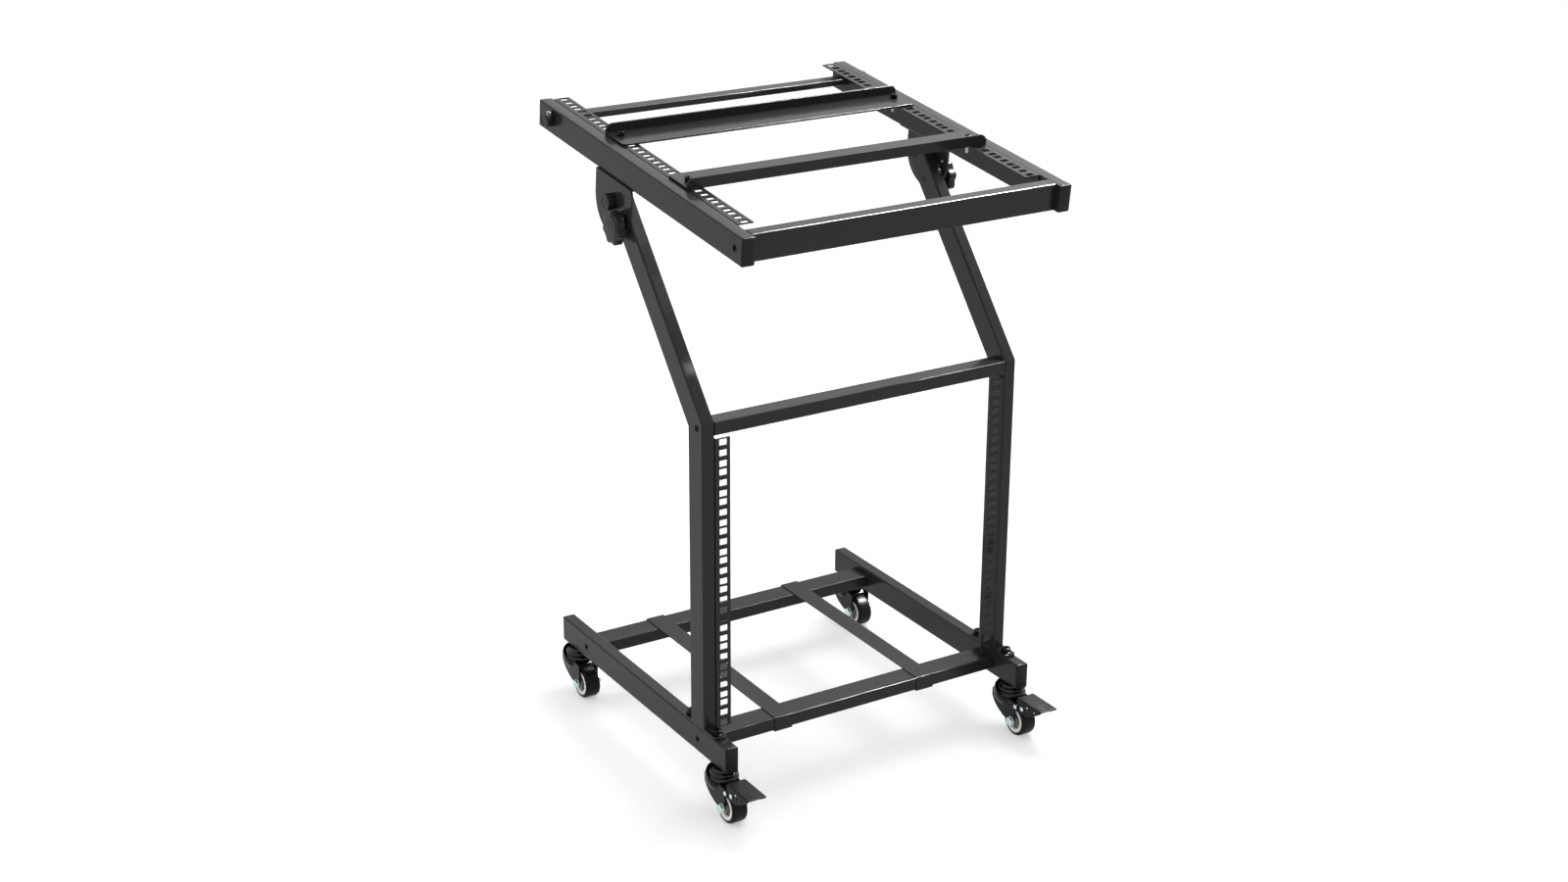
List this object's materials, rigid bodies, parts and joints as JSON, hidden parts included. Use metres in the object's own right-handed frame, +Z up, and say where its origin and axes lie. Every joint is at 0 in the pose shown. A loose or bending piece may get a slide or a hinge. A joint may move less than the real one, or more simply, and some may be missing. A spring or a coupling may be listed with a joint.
{
  "type": "studio rack stand",
  "caption": "Rolling equipment stand: wheeled base, two cranked uprights with rack rails, tilting top frame with rack rails and stop bars.",
  "frame": {"origin": "on the floor under the middle of the bounding box", "axes": "+Z up, +X to the right and +Y to the back; the brake pedals point to the front (-Y)"},
  "size_m": [0.5794, 0.61, 0.9437],
  "materials": {
    "powder_coat": "semi-matte black powder coat on steel",
    "cap_plastic": "moulded black plastic",
    "knob_plastic": "moulded black plastic on a steel screw",
    "black_steel": "blackened steel screws",
    "gloss_black": "glossy black pressed steel",
    "zinc": "bright zinc plated steel",
    "wheel": "smooth black tread on a plastic core"
  },
  "bodies": {
    "frame": {"base_beam_left": "powder_coat", "base_cap_front_left": "cap_plastic", "base_cap_rear_left": "cap_plastic", "upright_left": "powder_coat", "rack_rail_lower_left": "powder_coat", "foot_bolt_front_left": "black_steel", "foot_bolt_rear_left": "black_steel", "base_beam_right": "powder_coat", "base_cap_front_right": "cap_plastic", "base_cap_rear_right": "cap_plastic", "upright_right": "powder_coat", "rack_rail_lower_right": "powder_coat", "foot_bolt_front_right": "black_steel", "foot_bolt_rear_right": "black_steel", "base_bar_front": "powder_coat", "base_bar_rear": "powder_coat", "cross_bar_bend": "powder_coat", "caster_stem_front_left": "gloss_black", "caster_stem_front_right": "gloss_black", "caster_stem_rear_left": "gloss_black", "caster_stem_rear_right": "gloss_black"},
    "top_frame": {"table_beam_left": "powder_coat", "table_cap_front_left": "cap_plastic", "table_cap_rear_left": "cap_plastic", "rack_rail_upper_left": "powder_coat", "table_beam_right": "powder_coat", "table_cap_front_right": "cap_plastic", "table_cap_rear_right": "cap_plastic", "rack_rail_upper_right": "powder_coat", "table_bar_front": "powder_coat", "table_bar_rear": "powder_coat", "stop_bar_rear": "powder_coat", "stop_screw_rear_left": "black_steel", "stop_screw_rear_right": "black_steel", "stop_bar_front": "powder_coat", "stop_screw_front_left": "black_steel", "stop_screw_front_right": "black_steel"},
    "pivot_knob_left": {"pivot_knob_left": "knob_plastic"},
    "clamp_knob_left": {"clamp_knob_left": "knob_plastic"},
    "rear_knob_left": {"rear_knob_left": "knob_plastic"},
    "pivot_knob_right": {"pivot_knob_right": "knob_plastic"},
    "clamp_knob_right": {"clamp_knob_right": "knob_plastic"},
    "rear_knob_right": {"rear_knob_right": "knob_plastic"},
    "strap_left": {"strap_left": "powder_coat"},
    "strap_right": {"strap_right": "powder_coat"},
    "caster_front_left": {"caster_fork_front_left": "powder_coat", "caster_axle_front_left": "zinc"},
    "wheel_front_left": {"caster_wheel_front_left": "wheel"},
    "brake_pedal_left": {"brake_pedal_left": "powder_coat"},
    "caster_front_right": {"caster_fork_front_right": "powder_coat", "caster_axle_front_right": "zinc"},
    "wheel_front_right": {"caster_wheel_front_right": "wheel"},
    "brake_pedal_right": {"brake_pedal_right": "powder_coat"},
    "caster_rear_left": {"caster_fork_rear_left": "powder_coat", "caster_axle_rear_left": "zinc"},
    "wheel_rear_left": {"caster_wheel_rear_left": "wheel"},
    "caster_rear_right": {"caster_fork_rear_right": "powder_coat", "caster_axle_rear_right": "zinc"},
    "wheel_rear_right": {"caster_wheel_rear_right": "wheel"}
  },
  "joints": [
    {"name": "top_frame_tilt", "type": "hinge", "parent": "frame", "child": "top_frame", "pos_m": [0, 0.06886, 0.84532], "axis": [1, 0, 0], "range_deg": [-6.4, 40]},
    {"name": "pivot_knob_left_turn", "type": "hinge", "parent": "frame", "child": "pivot_knob_left", "pos_m": [-0.26935, 0.06886, 0.84532], "axis": [-1, 0, 0], "continuous": true},
    {"name": "clamp_knob_left_turn", "type": "hinge", "parent": "frame", "child": "clamp_knob_left", "pos_m": [-0.26935, 0.04315, 0.81468], "axis": [-1, 0, 0], "continuous": true},
    {"name": "rear_knob_left_turn", "type": "hinge", "parent": "top_frame", "child": "rear_knob_left", "pos_m": [-0.266, 0.26294, 0.92274], "axis": [-1, 0, 0], "continuous": true},
    {"name": "pivot_knob_right_turn", "type": "hinge", "parent": "frame", "child": "pivot_knob_right", "pos_m": [0.26935, 0.06886, 0.84532], "axis": [1, 0, 0], "continuous": true},
    {"name": "clamp_knob_right_turn", "type": "hinge", "parent": "frame", "child": "clamp_knob_right", "pos_m": [0.26935, 0.04315, 0.81468], "axis": [1, 0, 0], "continuous": true},
    {"name": "rear_knob_right_turn", "type": "hinge", "parent": "top_frame", "child": "rear_knob_right", "pos_m": [0.266, 0.26294, 0.92274], "axis": [1, 0, 0], "continuous": true},
    {"name": "strap_left_slide", "type": "slide", "parent": "frame", "child": "strap_left", "axis": [1, 0, 0], "range_m": [-0.096, 0.117]},
    {"name": "strap_right_slide", "type": "slide", "parent": "frame", "child": "strap_right", "axis": [1, 0, 0], "range_m": [-0.102, 0.111]},
    {"name": "caster_front_left_swivel", "type": "hinge", "parent": "frame", "child": "caster_front_left", "pos_m": [-0.256, -0.21105, 0.07], "axis": [0, 0, 1], "continuous": true},
    {"name": "wheel_front_left_spin", "type": "hinge", "parent": "caster_front_left", "child": "wheel_front_left", "pos_m": [-0.256, -0.23505, 0.025], "axis": [1, 0, 0], "continuous": true},
    {"name": "brake_pedal_left_press", "type": "hinge", "parent": "caster_front_left", "child": "brake_pedal_left", "pos_m": [-0.256, -0.24335, 0.05268], "axis": [1, 0, 0], "range_deg": [0, 10]},
    {"name": "caster_front_right_swivel", "type": "hinge", "parent": "frame", "child": "caster_front_right", "pos_m": [0.256, -0.21105, 0.07], "axis": [0, 0, 1], "continuous": true},
    {"name": "wheel_front_right_spin", "type": "hinge", "parent": "caster_front_right", "child": "wheel_front_right", "pos_m": [0.256, -0.23505, 0.025], "axis": [1, 0, 0], "continuous": true},
    {"name": "brake_pedal_right_press", "type": "hinge", "parent": "caster_front_right", "child": "brake_pedal_right", "pos_m": [0.256, -0.24335, 0.05268], "axis": [1, 0, 0], "range_deg": [0, 10]},
    {"name": "caster_rear_left_swivel", "type": "hinge", "parent": "frame", "child": "caster_rear_left", "pos_m": [-0.256, 0.24246, 0.07], "axis": [0, 0, 1], "continuous": true},
    {"name": "wheel_rear_left_spin", "type": "hinge", "parent": "caster_rear_left", "child": "wheel_rear_left", "pos_m": [-0.256, 0.21846, 0.025], "axis": [1, 0, 0], "continuous": true},
    {"name": "caster_rear_right_swivel", "type": "hinge", "parent": "frame", "child": "caster_rear_right", "pos_m": [0.256, 0.24246, 0.07], "axis": [0, 0, 1], "continuous": true},
    {"name": "wheel_rear_right_spin", "type": "hinge", "parent": "caster_rear_right", "child": "wheel_rear_right", "pos_m": [0.256, 0.21846, 0.025], "axis": [1, 0, 0], "continuous": true}
  ]
}
